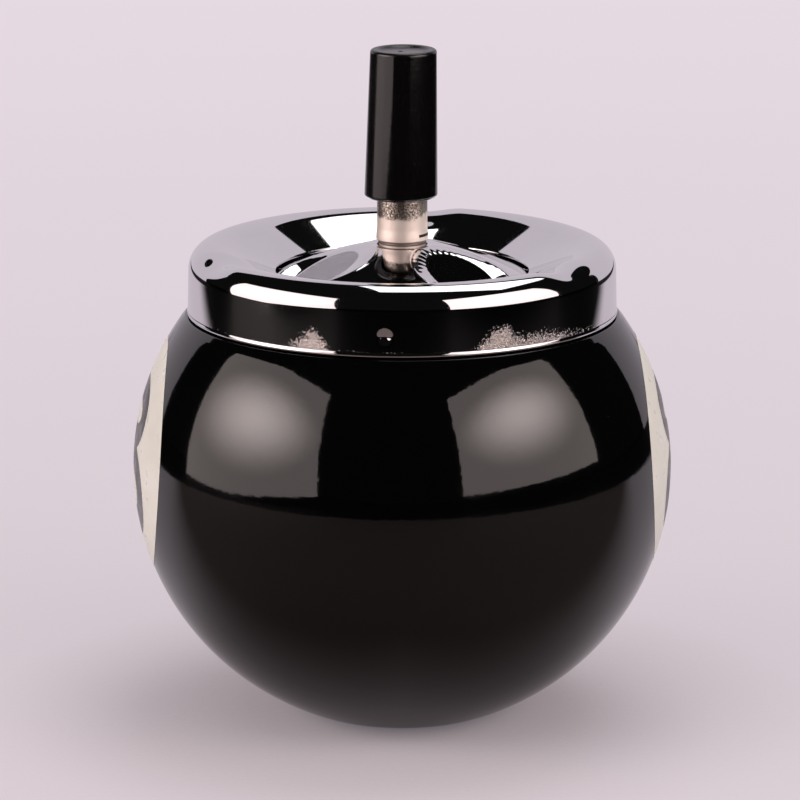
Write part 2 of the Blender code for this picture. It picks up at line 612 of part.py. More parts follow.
for old in list(bpy.data.objects):
    bpy.data.objects.remove(old)
PIECES = new_collection("spinning_ashtray")
CUTTERS = new_collection("cutters")
build_bowl()
build_rim()
build_bridge()
build_cage()
build_rivets()
build_drive_nut()
build_tray()
build_sleeve()
build_hub()
build_plug()
build_clip()
build_knob()
build_spring()
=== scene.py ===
"""Looks of the push-down spinning ashtray: detailed metal, enamel and plastic pieces over the CAD frame,
in a plain studio with a pale table, two large soft boxes and one above. Sizes are in millimetres."""

import math

import bmesh
import bpy
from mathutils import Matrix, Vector


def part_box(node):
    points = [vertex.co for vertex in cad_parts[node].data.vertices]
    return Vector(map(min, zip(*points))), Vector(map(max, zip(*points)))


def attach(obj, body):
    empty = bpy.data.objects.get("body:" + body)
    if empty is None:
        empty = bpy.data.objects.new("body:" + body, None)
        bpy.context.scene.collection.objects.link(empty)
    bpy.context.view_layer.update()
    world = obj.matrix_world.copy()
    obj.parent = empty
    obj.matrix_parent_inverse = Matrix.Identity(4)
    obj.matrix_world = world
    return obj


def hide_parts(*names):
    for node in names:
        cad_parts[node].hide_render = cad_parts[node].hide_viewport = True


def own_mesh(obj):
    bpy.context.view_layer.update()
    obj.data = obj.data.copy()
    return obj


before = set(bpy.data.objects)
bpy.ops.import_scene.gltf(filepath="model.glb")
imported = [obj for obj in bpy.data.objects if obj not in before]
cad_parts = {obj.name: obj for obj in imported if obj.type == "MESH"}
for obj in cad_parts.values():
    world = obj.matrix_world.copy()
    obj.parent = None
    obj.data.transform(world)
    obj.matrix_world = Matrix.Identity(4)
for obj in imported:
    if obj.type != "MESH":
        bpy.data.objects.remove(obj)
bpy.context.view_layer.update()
MM = 0.001
TURN = 2 * math.pi
SHEET = 0.8  # thickness of the bowl's and the lid's sheet metal


def size_of(node):
    """Lowest and highest corner of a CAD node, in millimetres."""
    low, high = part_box(node)
    return low / MM, high / MM


_, BALL_HIGH = size_of("ball_bowl")
RIM_LOW, RIM_HIGH = size_of("rim_ring")
_, TRAY_HIGH = size_of("tray")
SLEEVE_LOW, SLEEVE_HIGH = size_of("sleeve")
KNOB_LOW, KNOB_HIGH = size_of("knob")
SPRING_LOW, SPRING_HIGH = size_of("return_spring")


# ---- Mesh helpers --------------------------------------------------------------


def rounded(corners, closed=False, per_arc=9.0):
    """A profile from (radius, height, fillet) corners: every fillet becomes an arc, and each long straight
    stretch gets a point near both of its ends, so that smooth shading stays flat along it."""
    line = []
    count = len(corners)
    for i, (x, z, fillet) in enumerate(corners):
        here = Vector((x, z))
        if fillet == 0 or (not closed and i in (0, count - 1)):
            line.append(here)
            continue
        back = Vector(corners[i - 1][:2]) - here
        ahead = Vector(corners[(i + 1) % count][:2]) - here
        half = back.angle(ahead) / 2
        reach = min(fillet / math.tan(half), 0.48 * back.length, 0.48 * ahead.length)
        radius = reach * math.tan(half)
        centre = here + (back.normalized() + ahead.normalized()).normalized() * radius / math.sin(half)
        start, end = here + back.normalized() * reach, here + ahead.normalized() * reach
        sweep = math.pi - 2 * half
        steps = max(2, math.ceil(math.degrees(sweep) / per_arc))
        first, last = start - centre, end - centre
        for k in range(steps + 1):
            t = k / steps
            a, b = math.sin((1 - t) * sweep), math.sin(t * sweep)
            line.append(centre + (first * a + last * b) / math.sin(sweep))
    held = []
    total = len(line) if closed else len(line) - 1
    for i in range(total):
        a, b = line[i], line[(i + 1) % len(line)]
        held.append(a)
        length = (b - a).length
        if length > 0.6:
            inner = max(1, round(length / 1.5))
            held += [a.lerp(b, 0.12 / length)]
            held += [a.lerp(b, k / inner) for k in range(1, inner)]
            held += [a.lerp(b, 1 - 0.12 / length)]
    if not closed:
        held.append(line[-1])
    return held


def lathe(name, profile, steps, closed=False, press=None, gather=None):
    """A surface turned about the z axis. press moves each point once it is turned."""
    bm = bmesh.new()
    rings = []
    for point in profile:
        radius, z = point[0], point[1]
        if radius < 1e-6:
            rings.append([bm.verts.new((0, 0, z * MM))])
            continue
        ring = []
        for k in range(steps):
            angle = TURN * k / steps
            if gather:
                angle = gather(angle)
            x, y, height = radius * math.sin(angle), -radius * math.cos(angle), z
            if press:
                x, y, height = press(x, y, height)
            ring.append(bm.verts.new((x * MM, y * MM, height * MM)))
        rings.append(ring)
    pairs = list(zip(rings, rings[1:])) + ([(rings[-1], rings[0])] if closed else [])
    for upper, lower in pairs:
        for k in range(steps):
            n = (k + 1) % steps
            corners = [upper[k % len(upper)], upper[n % len(upper)]]
            corners += [lower[n % len(lower)], lower[k % len(lower)]]
            corners = list(dict.fromkeys(corners))
            if len(corners) > 2:
                bm.faces.new(corners)
    bmesh.ops.recalc_face_normals(bm, faces=bm.faces)
    return finished(name, bm)


def finished(name, bm):
    """The mesh as an object of the scene, shaded smooth."""
    mesh = bpy.data.meshes.new(name)
    bm.to_mesh(mesh)
    bm.free()
    mesh.polygons.foreach_set("use_smooth", [True] * len(mesh.polygons))
    obj = bpy.data.objects.new(name, mesh)
    bpy.context.scene.collection.objects.link(obj)
    return obj


def dress(obj, body, slot, finish, *nodes):
    """The piece rides on a body, takes the place of CAD nodes, and gets its material; slot is not used."""
    obj.data.materials.clear()
    obj.data.materials.append(finish)
    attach(obj, body)
    if nodes:
        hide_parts(*nodes)
    return obj


def smoothstep(value):
    value = min(max(value, 0), 1)
    return value * value * (3 - 2 * value)


# ---- Materials -------------------------------------------------------------------


MAP_SOCKETS = ("From Min", "From Max", "To Min", "To Max")


class Paint:
    """A node material with a few shorthands."""

    def __init__(self, name, colour, metallic=0.0, roughness=0.5, ior=1.5):
        self.material = bpy.data.materials.new(name)
        self.material.use_nodes = True
        self.tree = self.material.node_tree
        self.shader = self.tree.nodes["Principled BSDF"]
        self.shader.inputs["Base Color"].default_value = (*colour, 1)
        self.shader.inputs["Metallic"].default_value = metallic
        self.shader.inputs["Roughness"].default_value = roughness
        self.shader.inputs["IOR"].default_value = ior
        self.material.diffuse_color = (*colour, 1)
        self.place = self.node("ShaderNodeTexCoord").outputs["Object"]
        self.normal = None

    def node(self, kind, **settings):
        made = self.tree.nodes.new(kind)
        for name, value in settings.items():
            setattr(made, name, value)
        return made

    def link(self, out, into):
        self.tree.links.new(out, into)

    def feed(self, value, socket):
        """Sets a socket to a number or a colour, or links it to another node's output."""
        if isinstance(value, (int, float)):
            socket.default_value = value
        elif isinstance(value, tuple):
            socket.default_value = (*value, 1)
        else:
            self.link(value, socket)

    def stretched(self, scale, turn=(0, 0, 0)):
        mapping = self.node("ShaderNodeMapping")
        mapping.inputs["Scale"].default_value = scale
        mapping.inputs["Rotation"].default_value = turn
        self.link(self.place, mapping.inputs["Vector"])
        return mapping.outputs["Vector"]

    def noise(self, scale, detail=4.0, rough=0.55, distortion=0.0, vector=None):
        made = self.node("ShaderNodeTexNoise")
        made.inputs["Scale"].default_value = scale
        made.inputs["Detail"].default_value = detail
        made.inputs["Roughness"].default_value = rough
        made.inputs["Distortion"].default_value = distortion
        self.link(vector or self.place, made.inputs["Vector"])
        return made.outputs["Fac"]

    def remap(self, value, low, high, to_low, to_high, smooth=False):
        made = self.node("ShaderNodeMapRange", interpolation_type="SMOOTHSTEP" if smooth else "LINEAR")
        for name, number in zip(MAP_SOCKETS, (low, high, to_low, to_high)):
            made.inputs[name].default_value = number
        self.link(value, made.inputs["Value"])
        return made.outputs["Result"]

    def math(self, kind, a, b):
        made = self.node("ShaderNodeMath", operation=kind)
        self.feed(a, made.inputs[0])
        self.feed(b, made.inputs[1])
        return made.outputs["Value"]

    def plus(self, a, b):
        return self.math("ADD", a, b)

    def minus(self, a, b):
        return self.math("SUBTRACT", a, b)

    def most(self, a, b):
        return self.math("MAXIMUM", a, b)

    def times(self, first, *others):
        for other in others:
            first = self.math("MULTIPLY", first, other)
        return first

    def mix(self, factor, first, second):
        made = self.node("ShaderNodeMix", data_type="RGBA")
        for index, value in ((0, factor), (6, first), (7, second)):
            self.feed(value, made.inputs[index])
        return made.outputs[2]

    def coordinate(self, axis):
        made = self.node("ShaderNodeSeparateXYZ")
        self.link(self.place, made.inputs["Vector"])
        return made.outputs[axis]

    def scratches(self, scale, width, turn, stretch=40.0):
        """A mask of thin, nearly straight scratches."""
        vector = self.stretched((scale, scale / stretch, scale), turn)
        made = self.node("ShaderNodeTexVoronoi", feature="DISTANCE_TO_EDGE")
        made.inputs["Scale"].default_value = 1.0
        made.inputs["Randomness"].default_value = 1.0
        self.link(vector, made.inputs["Vector"])
        return self.remap(made.outputs["Distance"], 0.0, width, 1.0, 0.0)

    def bump(self, height, strength, distance):
        made = self.node("ShaderNodeBump")
        made.inputs["Strength"].default_value = strength
        made.inputs["Distance"].default_value = distance
        self.link(height, made.inputs["Height"])
        if self.normal:
            self.link(self.normal, made.inputs["Normal"])
        self.normal = made.outputs["Normal"]
        self.link(self.normal, self.shader.inputs["Normal"])

    def roughness(self, value):
        self.link(value, self.shader.inputs["Roughness"])

    def colour(self, value):
        self.link(value, self.shader.inputs["Base Color"])

    def glow(self, colour):
        """A shader that gives out this colour."""
        made = self.node("ShaderNodeEmission")
        self.feed(colour, made.inputs["Color"])
        return made.outputs[0]

    def blend(self, factor, first, second):
        """Two shaders mixed."""
        made = self.node("ShaderNodeMixShader")
        for value, socket in zip((factor, first, second), made.inputs):
            self.link(value, socket)
        return made.outputs[0]

    def surface(self, shader):
        out = next(node for node in self.tree.nodes if node.type == "OUTPUT_MATERIAL")
        self.link(shader, out.inputs["Surface"])


def enamel_paint():
    """Black enamel with smears, hairline scratches and a little dust."""
    paint = Paint("black_enamel_gloss", (0.0012, 0.0012, 0.0013), 0.0, 0.045, 1.62)
    smears = paint.noise(38, 5, 0.6, 0.6)
    dust = paint.remap(paint.noise(2600, 2, 0.5), 0.73, 0.8, 0.0, 1.0)
    marks = paint.times(paint.scratches(900, 0.012, (0.4, 0.9, 0.3)), paint.noise(60, 2))
    rough = paint.remap(smears, 0.35, 0.75, 0.035, 0.075)
    rough = paint.plus(rough, paint.times(marks, 0.08))
    paint.roughness(paint.plus(rough, paint.times(dust, 0.25)))
    paint.colour(paint.mix(paint.times(dust, 0.5), (0.0012, 0.0012, 0.0013), (0.05, 0.048, 0.046)))
    paint.bump(paint.noise(420, 2, 0.5), 0.05, 0.0002)
    paint.bump(paint.noise(45, 2, 0.5), 0.10, 0.0004)
    return paint.material


def chrome_paint(name, hem=None):
    """Bright plating with hairlines and faint haze, and pitting along the hem of the lid."""
    paint = Paint(name, (0.80, 0.79, 0.81), 1.0, 0.03)
    haze = paint.noise(70, 4, 0.6, 0.4)
    lines = paint.scratches(1500, 0.010, (0.2, 0.1, 0.8))
    more = paint.scratches(1100, 0.008, (0.9, 0.4, 2.1))
    fine = paint.times(paint.most(lines, more), paint.noise(90, 2))
    rough = paint.remap(haze, 0.3, 0.8, 0.018, 0.05)
    rough = paint.plus(rough, paint.times(fine, 0.10))
    tint = paint.mix(paint.remap(haze, 0.4, 0.75, 0.0, 0.6), (0.82, 0.81, 0.83), (0.76, 0.75, 0.76))
    if hem:
        # Pitted plating above the hem, in two places at the front.
        low, high = hem[0] * MM, hem[1] * MM
        across, height = paint.coordinate("X"), paint.coordinate("Z")
        left = paint.times(
            paint.remap(across, -0.0236, -0.0176, 0.0, 1.0),
            paint.remap(across, -0.0170, -0.0132, 1.0, 0.0),
        )
        right = paint.times(
            paint.remap(across, 0.0130, 0.0182, 0.0, 1.0),
            paint.remap(across, 0.0208, 0.0228, 1.0, 0.55),
            paint.remap(across, 0.0280, 0.0380, 1.0, 0.1),
        )
        front = paint.math("LESS_THAN", paint.coordinate("Y"), 0.0)
        worn = paint.times(paint.most(left, right), front)
        below = paint.minus(worn, paint.remap(height, low, high, 0.05, 1.0))
        speckle = paint.noise(2500, 2, 0.6)
        pits = paint.minus(paint.plus(paint.times(below, 0.55), speckle), 0.62)
        pits = paint.times(
            paint.remap(pits, 0.0, 0.04, 0.0, 1.0),
            paint.math("GREATER_THAN", below, -0.12),
            paint.math("LESS_THAN", height, high),
            paint.math("GREATER_THAN", height, low),
        )
        paint.bump(paint.times(paint.noise(3600, 2, 0.5), pits), 1.0, 0.00045)
        rough = paint.plus(rough, paint.times(pits, 0.22))
        tint = paint.mix(paint.times(pits, 0.9), tint, (1.0, 0.91, 0.86))
    paint.colour(tint)
    paint.roughness(rough)
    paint.bump(paint.noise(33, 2, 0.5), 0.06, 0.0003)
    return paint.material


def nickel_paint(satin_z, groove_z):
    """Warm nickel with a satin grain and dark speckles above the height satin_z, rubbed and plain below it,
    with a dark nick and a darker band along the groove. The speckles are partly real and partly painted
    shade under the knob, and the darker right flank above satin_z is painted shade."""
    paint = Paint("satin_nickel", (0.74, 0.66, 0.58), 1.0, 0.22)
    grain = paint.noise(2600, 3, 0.65)
    across, z = paint.coordinate("X"), paint.coordinate("Z")
    height = paint.plus(z, paint.times(paint.minus(paint.noise(420, 3, 0.6), 0.5), 0.0034))
    satin = paint.remap(height, (satin_z - 0.5) * MM, (satin_z + 0.7) * MM, 0.0, 1.0, True)
    # Dark speckles above satin_z: partly real spots, partly painted shade under the knob.
    spots = paint.times(paint.remap(paint.noise(3200, 2, 0.5), 0.36, 0.56, 0.0, 1.0), satin)
    # The right flank above satin_z is darkened: painted shade.
    shaded_flank = paint.remap(across, 0.0026, 0.0038, 0.0, 0.8)
    spots = paint.most(spots, paint.times(shaded_flank, satin))
    cloud = paint.noise(220, 3, 0.5)
    tint = paint.mix(spots, (0.96, 0.85, 0.77), (0.15, 0.12, 0.09))
    level = paint.math("ABSOLUTE", paint.minus(z, (satin_z - 3.8) * MM), 0.0)
    nick = paint.times(paint.math("LESS_THAN", level, 0.00028), paint.math("GREATER_THAN", across, 0.0034))
    # A darker band along the groove.
    groove = paint.math("ABSOLUTE", paint.minus(z, groove_z * MM), 0.0)
    groove_band = paint.remap(groove, 0.0003, 0.0006, 0.75, 0.0, True)
    tint = paint.mix(groove_band, tint, (0.10, 0.075, 0.065))
    paint.colour(paint.mix(nick, tint, (0.05, 0.04, 0.035)))
    satin_rough = paint.plus(paint.remap(cloud, 0.3, 0.7, 0.20, 0.28), paint.times(spots, 0.12))
    paint.roughness(paint.mix(satin, (0.58, 0.58, 0.58), satin_rough))
    paint.bump(paint.times(grain, satin), 0.5, 0.00016)
    return paint.material


def plastic_paint(top_z):
    """Black moulded plastic with fine rubbing marks, rubbed duller on its left side and on its top."""
    paint = Paint("black_plastic_gloss", (0.008, 0.0075, 0.008), 0.0, 0.2, 1.52)
    rub = paint.noise(120, 4, 0.6, 0.5)
    marks = paint.scratches(1300, 0.02, (0.1, 0.1, 0.1), 60)
    edge = paint.plus(paint.coordinate("X"), paint.times(paint.noise(700, 4, 0.7), 0.0024))
    top = paint.remap(paint.coordinate("Z"), (top_z - 0.9) * MM, (top_z - 0.2) * MM, 0.0, 2.0)
    worn = paint.most(paint.remap(edge, -0.0026, -0.0018, 1.0, 0.0), top)
    base = paint.plus(paint.remap(rub, 0.3, 0.75, 0.06, 0.10), paint.times(worn, 0.10))
    rough = paint.plus(base, paint.times(marks, 0.10))
    paint.roughness(rough)
    paint.colour(paint.mix(paint.times(marks, 0.35), (0.0025, 0.0023, 0.0024), (0.03, 0.027, 0.027)))
    paint.bump(paint.noise(900, 2, 0.5), 0.06, 0.0001)
    return paint.material


def print_paint(name, base, aged, roughness, ior=1.5):
    """Printed lacquer of the number discs, slightly uneven and aged."""
    paint = Paint(name, base, 0.0, roughness, ior)
    paint.colour(paint.mix(paint.remap(paint.noise(180, 4, 0.6), 0.4, 0.75, 0.0, 1.0), base, aged))
    paint.roughness(paint.remap(paint.noise(300, 3, 0.5), 0.3, 0.7, roughness - 0.05, roughness + 0.12))
    paint.bump(paint.noise(700, 2, 0.5), 0.05, 0.0001)
    return paint.material


def plated_paint(name, bright, dull, roughness, stain=(0.35, 0.30, 0.22)):
    """Plain plated or bare metal of the inner pieces, with drawing lines, stains and worn edges."""
    paint = Paint(name, bright, 1.0, roughness)
    cloud = paint.noise(150, 5, 0.6, 0.5)
    spots = paint.remap(paint.noise(520, 3, 0.6), 0.62, 0.78, 0.0, 0.7)
    tint = paint.mix(paint.remap(cloud, 0.35, 0.7, 0.0, 1.0), bright, dull)
    paint.colour(paint.mix(spots, tint, stain))
    lines = paint.scratches(1600, 0.03, (0.0, 1.2, 0.4), 50)
    rough = paint.remap(cloud, 0.3, 0.7, roughness - 0.08, roughness + 0.1)
    paint.roughness(paint.plus(rough, paint.times(lines, 0.1)))
    paint.bump(paint.noise(1100, 3, 0.6), 0.15, 0.0001)
    return paint.material


def nylon_paint():
    """Off-white nylon, yellowed in places."""
    paint = Paint("nylon_bush", (0.72, 0.70, 0.64), 0.0, 0.42, 1.53)
    worn = paint.remap(paint.noise(400, 4, 0.6), 0.4, 0.7, 0.0, 1.0)
    paint.colour(paint.mix(worn, (0.74, 0.72, 0.66), (0.58, 0.55, 0.48)))
    paint.roughness(paint.remap(worn, 0, 1, 0.36, 0.52))
    paint.bump(paint.noise(900, 2, 0.5), 0.1, 0.0001)
    return paint.material


ENAMEL = enamel_paint()
LID_CHROME = chrome_paint("lid_chrome", hem=(RIM_LOW.z + 0.9, RIM_LOW.z + 5.6))
TRAY_CHROME = chrome_paint("tray_chrome")
NICKEL = nickel_paint(TRAY_HIGH.z + 6.0, TRAY_HIGH.z + 0.64)
PLASTIC = plastic_paint(KNOB_HIGH.z)
CREAM = print_paint("cream_print", (0.80, 0.81, 0.73), (0.76, 0.76, 0.67), 0.30)
NUMBER = print_paint("black_print", (0.035, 0.033, 0.033), (0.045, 0.042, 0.041), 0.25, 1.8)
ZINC = plated_paint("zinc_plate", (0.56, 0.56, 0.54), (0.42, 0.42, 0.41), 0.36)
BRASS = plated_paint("turned_brass", (0.72, 0.52, 0.24), (0.55, 0.38, 0.17), 0.27, (0.28, 0.19, 0.10))
STEEL = plated_paint("spring_wire", (0.46, 0.46, 0.47), (0.34, 0.34, 0.35), 0.30)
NYLON = nylon_paint()


# ---- Bowl ------------------------------------------------------------------------

BALL_R = BALL_HIGH.x
BALL_HALF = 54.0  # half its height, were its base not cut flat
BASE_CUT = 3.0
BALL_Z = BALL_HALF - BASE_CUT
NECK_HEIGHT = 7.8
SHELF_Z = BALL_HIGH.z - NECK_HEIGHT
NECK_R = RIM_HIGH.x - 1.15


def ball_radius_at(z):
    return BALL_R * math.sqrt(1 - ((z - BALL_Z) / BALL_HALF) ** 2)


def build_bowl():
    """The ball with its flat base, its shelf and the neck inside the lid."""
    shelf = ball_radius_at(SHELF_Z)
    neck_top = SHELF_Z + NECK_HEIGHT
    outer = [(NECK_R - 0.4, neck_top, 0.3), (NECK_R, neck_top, 0.3), (NECK_R, SHELF_Z, 0.35)]
    outer += [(shelf - 0.15, SHELF_Z, 0.5)]
    high = SHELF_Z - 1.2
    start = math.asin((high - BALL_Z) / BALL_HALF)
    end = -math.asin((BALL_Z - 1.0) / BALL_HALF)
    outer += [(ball_radius_at(high), high, 0)]
    line = rounded(outer)
    for i in range(1, 73):
        angle = start + (end - start) * i / 72
        line.append(Vector((BALL_R * math.cos(angle), BALL_Z + BALL_HALF * math.sin(angle))))
    flat = ball_radius_at(0) - 1.7
    line += [Vector((flat + 1.5, 0.33)), Vector((flat + 0.7, 0.08)), Vector((flat, 0))]
    line += [Vector((flat * share, 0)) for share in (0.97, 0.6, 0.3, 0)]
    inside = [Vector((flat * share, SHEET)) for share in (0, 0.4, 0.9)]
    for i in range(49):
        angle = end + 0.06 + (start - end - 0.06) * i / 48
        across, up = (BALL_R - SHEET) * math.cos(angle), (BALL_HALF - SHEET) * math.sin(angle)
        inside.append(Vector((across, BALL_Z + up)))
    neck, ledge = NECK_R - SHEET, SHELF_Z - SHEET
    inside += rounded([(shelf - 1.2, ledge, 0), (neck, ledge, 0.5), (neck, neck_top, 0.3)])
    shell = lathe("bowl_shell", line + inside, 224, closed=True)
    dress(shell, "bowl", "black_enamel", ENAMEL, "ball_bowl")


# Side -1 is the left, and 1 the right.
DISC_TILT = {-1: math.radians(2.5), 1: math.radians(1.4)}
DISC_LIFT = math.radians(4.2)
DISC_RADIUS = 24.4
DISC_STEPS = 96
PRINT_THICKNESS = 0.03
# Each loop of the 8: its middle's height, half its width, half its height and its stroke.
LOOPS = (("upper", 8.4, 12.0, 7.6, 5.2), ("lower", -7.0, 14.0, 10.2, 5.8))
LOOP_POWER = 0.92  # under 1, so a little squarer than an ellipse


def on_ball(side, across, up, proud):
    """The point of the ball's skin that lies across and up, in mm, from a number disc's middle. Across
    runs towards the front."""
    azimuth = across / BALL_R
    height = up / BALL_HALF + DISC_LIFT
    tilt = DISC_TILT[side]
    x = side * math.cos(azimuth) * math.cos(height)
    y = -math.sin(azimuth) * math.cos(height)
    x, y = x * math.cos(tilt) - y * math.sin(tilt), x * math.sin(tilt) + y * math.cos(tilt)
    z = math.sin(height)
    normal = Vector((x / BALL_R, y / BALL_R, z / BALL_HALF)).normalized()
    return (Vector((x * BALL_R, y * BALL_R, BALL_Z + z * BALL_HALF)) + normal * proud) * MM


def patch(name, side, rows, proud):
    """A print on the ball from closed rows of (across, up) points."""
    bm = bmesh.new()
    grid = [[bm.verts.new(on_ball(side, u, v, proud)) for u, v in row] for row in rows]
    for upper, lower in zip(grid, grid[1:]):
        count = len(upper)
        for k in range(count):
            n = (k + 1) % count
            corners = list(dict.fromkeys([upper[k], upper[n], lower[n], lower[k]]))
            if len(corners) > 2:
                bm.faces.new(corners)
    bmesh.ops.remove_doubles(bm, verts=bm.verts, dist=1e-7)
    middle = Vector((0, 0, BALL_Z * MM))
    for face in bm.faces:
        if face.normal.dot(face.calc_center_median() - middle) < 0:
            face.normal_flip()
    return finished(name, bm)


def build_disc(side, word):
    """A pale disc with an 8 made of two loops."""
    angles = [TURN * k / DISC_STEPS for k in range(DISC_STEPS)]
    rings = 22
    rows = []
    for r in range(rings + 1):
        radius = DISC_RADIUS * r / rings
        rows.append([(radius * math.sin(angle), radius * math.cos(angle)) for angle in angles])
    disc = patch(f"number_disc_{word}", side, rows, PRINT_THICKNESS)
    dress(disc, "bowl", "black_enamel", CREAM)
    for part, up, half_wide, half_high, stroke in LOOPS:
        rows = []
        for r in range(9):
            a, b = half_wide - stroke * r / 8, half_high - stroke * r / 8
            row = []
            for angle in angles:
                u = a * math.copysign(abs(math.sin(angle)) ** LOOP_POWER, math.sin(angle))
                v = b * math.copysign(abs(math.cos(angle)) ** LOOP_POWER, math.cos(angle))
                row.append((u, up + v))
            rows.append(row)
        loop = patch(f"figure_eight_{part}_{word}", side, rows, PRINT_THICKNESS + 0.02)
        dress(loop, "bowl", "black_plastic", NUMBER)


# ---- Lid -------------------------------------------------------------------------

RIM_R = RIM_HIGH.x
CREST_Z = RIM_HIGH.z
SKIRT_Z = RIM_LOW.z
REST_ANGLES = (54.0, 174.0, -66.0)
REST_DEPTHS = (0.8, 1.0, 1.2)  # pressed by hand, so not alike
REST_WIDTH = 18.0
REST_FADE = 3.3  # how far below the crest a rest fades out
DIMPLE_ANGLES = (-4.5, 115.5, -124.5)
DIMPLE_HEIGHT = 4.0
DIMPLE_RADIUS = 1.75
DIMPLE_DEPTH = 0.45
SHOULDER_ACROSS = 4.6
SHOULDER_DOWN = 4.7
DRAFT = 0.2  # how far the skirt leans out on its way down


def press_rim(x, y, z):
    """The rests and dimples pressed into the lid."""
    share = smoothstep((z - CREST_Z + REST_FADE) / (REST_FADE - 0.6))
    depth = 0
    for degrees, deep in zip(REST_ANGLES, REST_DEPTHS):
        angle = math.radians(degrees)
        along = x * math.sin(angle) - y * math.cos(angle)
        aside = x * math.cos(angle) + y * math.sin(angle)
        if along > 0 and abs(aside) < REST_WIDTH / 2:
            depth += deep * math.cos(math.pi * aside / REST_WIDTH) ** 2
    radius = math.hypot(x, y)
    push = 0
    if radius > RIM_R - 2 and z < SKIRT_Z + 7:
        for degrees in DIMPLE_ANGLES:
            angle = math.radians(degrees)
            aside = x * math.cos(angle) + y * math.sin(angle)
            along = x * math.sin(angle) - y * math.cos(angle)
            away = math.hypot(aside, z - SKIRT_Z - DIMPLE_HEIGHT)
            if along > 0 and away < DIMPLE_RADIUS:
                push += DIMPLE_DEPTH * (1 - smoothstep(away / DIMPLE_RADIUS))
    scale = (radius - push) / radius
    return x * scale, y * scale, z - depth * share


def gather_rim(angle):
    """Steps drawn closer together at the rests and the dimples."""
    return angle - 0.1 * math.sin(6 * (angle - math.radians(REST_ANGLES[0])))


def build_rim():
    """The lid's funnel, crest, rounded shoulder, skirt and rolled hem, and its inside."""
    slope = math.radians(25)
    crest_r, bend_r, length = RIM_R - SHOULDER_ACROSS, 10.0, 10.1
    bend = Vector((crest_r, CREST_Z - bend_r))
    across = Vector((math.cos(slope), math.sin(slope)))
    lip = bend + bend_r * Vector((-across.y, across.x)) - length * across
    edge = [(lip.x + 0.1, lip.y - 0.6, 0), (lip.x, lip.y, 0.35), (lip.x + across.x, lip.y + across.y, 0)]
    line = rounded(edge, per_arc=6)
    line += [lip + across * (1 + (length - 1) * i / 14) for i in range(1, 15)]
    for i in range(1, 31):
        angle = slope * (1 - i / 30)
        line.append(bend + bend_r * Vector((-math.sin(angle), math.cos(angle))))
    high = CREST_Z - SHOULDER_DOWN
    for i in range(1, 41):
        angle = math.pi / 2 * (1 - i / 40)
        out, up = (SHOULDER_ACROSS - DRAFT) * math.cos(angle), SHOULDER_DOWN * math.sin(angle)
        line.append(Vector((crest_r + out, high + up)))
    hem_z = SKIRT_Z + 0.62
    steps = 26
    for i in range(1, steps + 1):
        line.append(Vector((RIM_R - DRAFT * (1 - i / steps), high + (hem_z - high) * i / steps)))
    inner = RIM_R - SHEET
    side = [(RIM_R, hem_z, 0), (RIM_R + 0.16, SKIRT_Z + 0.40, 0.2), (RIM_R + 0.14, SKIRT_Z + 0.02, 0.18)]
    side += [(RIM_R - 0.45, SKIRT_Z, 0.2), (inner, SKIRT_Z + 1.2, 0.6), (inner, high - 0.2, 4.0)]
    side += [(crest_r, CREST_Z - SHEET, 9.0), (lip.x + 6.5, lip.y + 6.5 * math.tan(slope) - 1.0, 9.0)]
    side += [(lip.x + 0.8, lip.y - 0.6, 0.2)]
    line += rounded(side, per_arc=6)[1:]
    rim = lathe("lid_ring", line, 432, closed=True, press=press_rim, gather=gather_rim)
    dress(rim, "lid", "chrome", LID_CHROME, "rim_ring")


# ---- Tray and sleeve ---------------------------------------------------------------

TRAY_HEM = 0.3  # how far the rolled edge stands out
TRAY_R = TRAY_HIGH.x - TRAY_HEM
TRAY_DROP = 5.83  # from the hub to the edge, were the tray a straight cone
TRAY_SAG = 1.63  # how much steeper it gets towards the edge
TRAY_WALL = 0.6
HUB_Z = TRAY_HIGH.z
HUB_R = 6.6
WELL_ANGLES = (47.0, 167.0, -73.0)
WELL_DISTANCE = (TRAY_R + HUB_R) / 2 - 1.0
WELL_R = (TRAY_R - HUB_R) / 2 - 0.6
WELL_WALL = 3.2  # how far in from its edge a well's wall reaches
WELL_DEPTH = 1.7
WELL_SLOPE = 0.49
RIPPLES = 36
RIPPLE_HEIGHT = 0.013
BEAD_HEIGHT = 0.14
SLEEVE_R = 5.1
SLEEVE_BORE = 4.25
SPIGOT_R = 4.75


def ramp(share):
    """An even slope from 0 to 1 that is eased over the first and the last fifth."""
    share = min(max(share, 0), 1)
    if share > 0.5:
        return 1 - ramp(1 - share)
    return share * share / 0.32 if share < 0.2 else 0.125 + (share - 0.2) * 1.25


def tray_height(radius):
    out = max(radius - HUB_R, 0) / (TRAY_R - HUB_R)
    return HUB_Z - TRAY_DROP * out - TRAY_SAG * out * out


def press_wells(x, y, z):
    """Three shallow round wells, each with a raised bead and faint press marks on its sloping wall."""
    radius = math.hypot(x, y)
    if radius > TRAY_R - 0.01:
        return x, y, z
    middle = tray_height(WELL_DISTANCE) - WELL_DEPTH
    lower = z
    for degrees in WELL_ANGLES:
        angle = math.radians(degrees)
        across, ahead = x - WELL_DISTANCE * math.sin(angle), y + WELL_DISTANCE * math.cos(angle)
        away = math.hypot(across, ahead)
        down = (WELL_R - away) / WELL_WALL
        floor = middle - WELL_SLOPE * (x * math.sin(angle) - y * math.cos(angle) - WELL_DISTANCE)
        lower += (floor - z) * ramp(down)
        ripple = RIPPLE_HEIGHT * math.sin(RIPPLES * math.atan2(ahead, across))
        lower += ripple * smoothstep(4 * down) * smoothstep(4 - 4 * down)
        lower += BEAD_HEIGHT * math.exp(-(((away - WELL_R - 0.2) / 0.45) ** 2))
    return x, y, lower


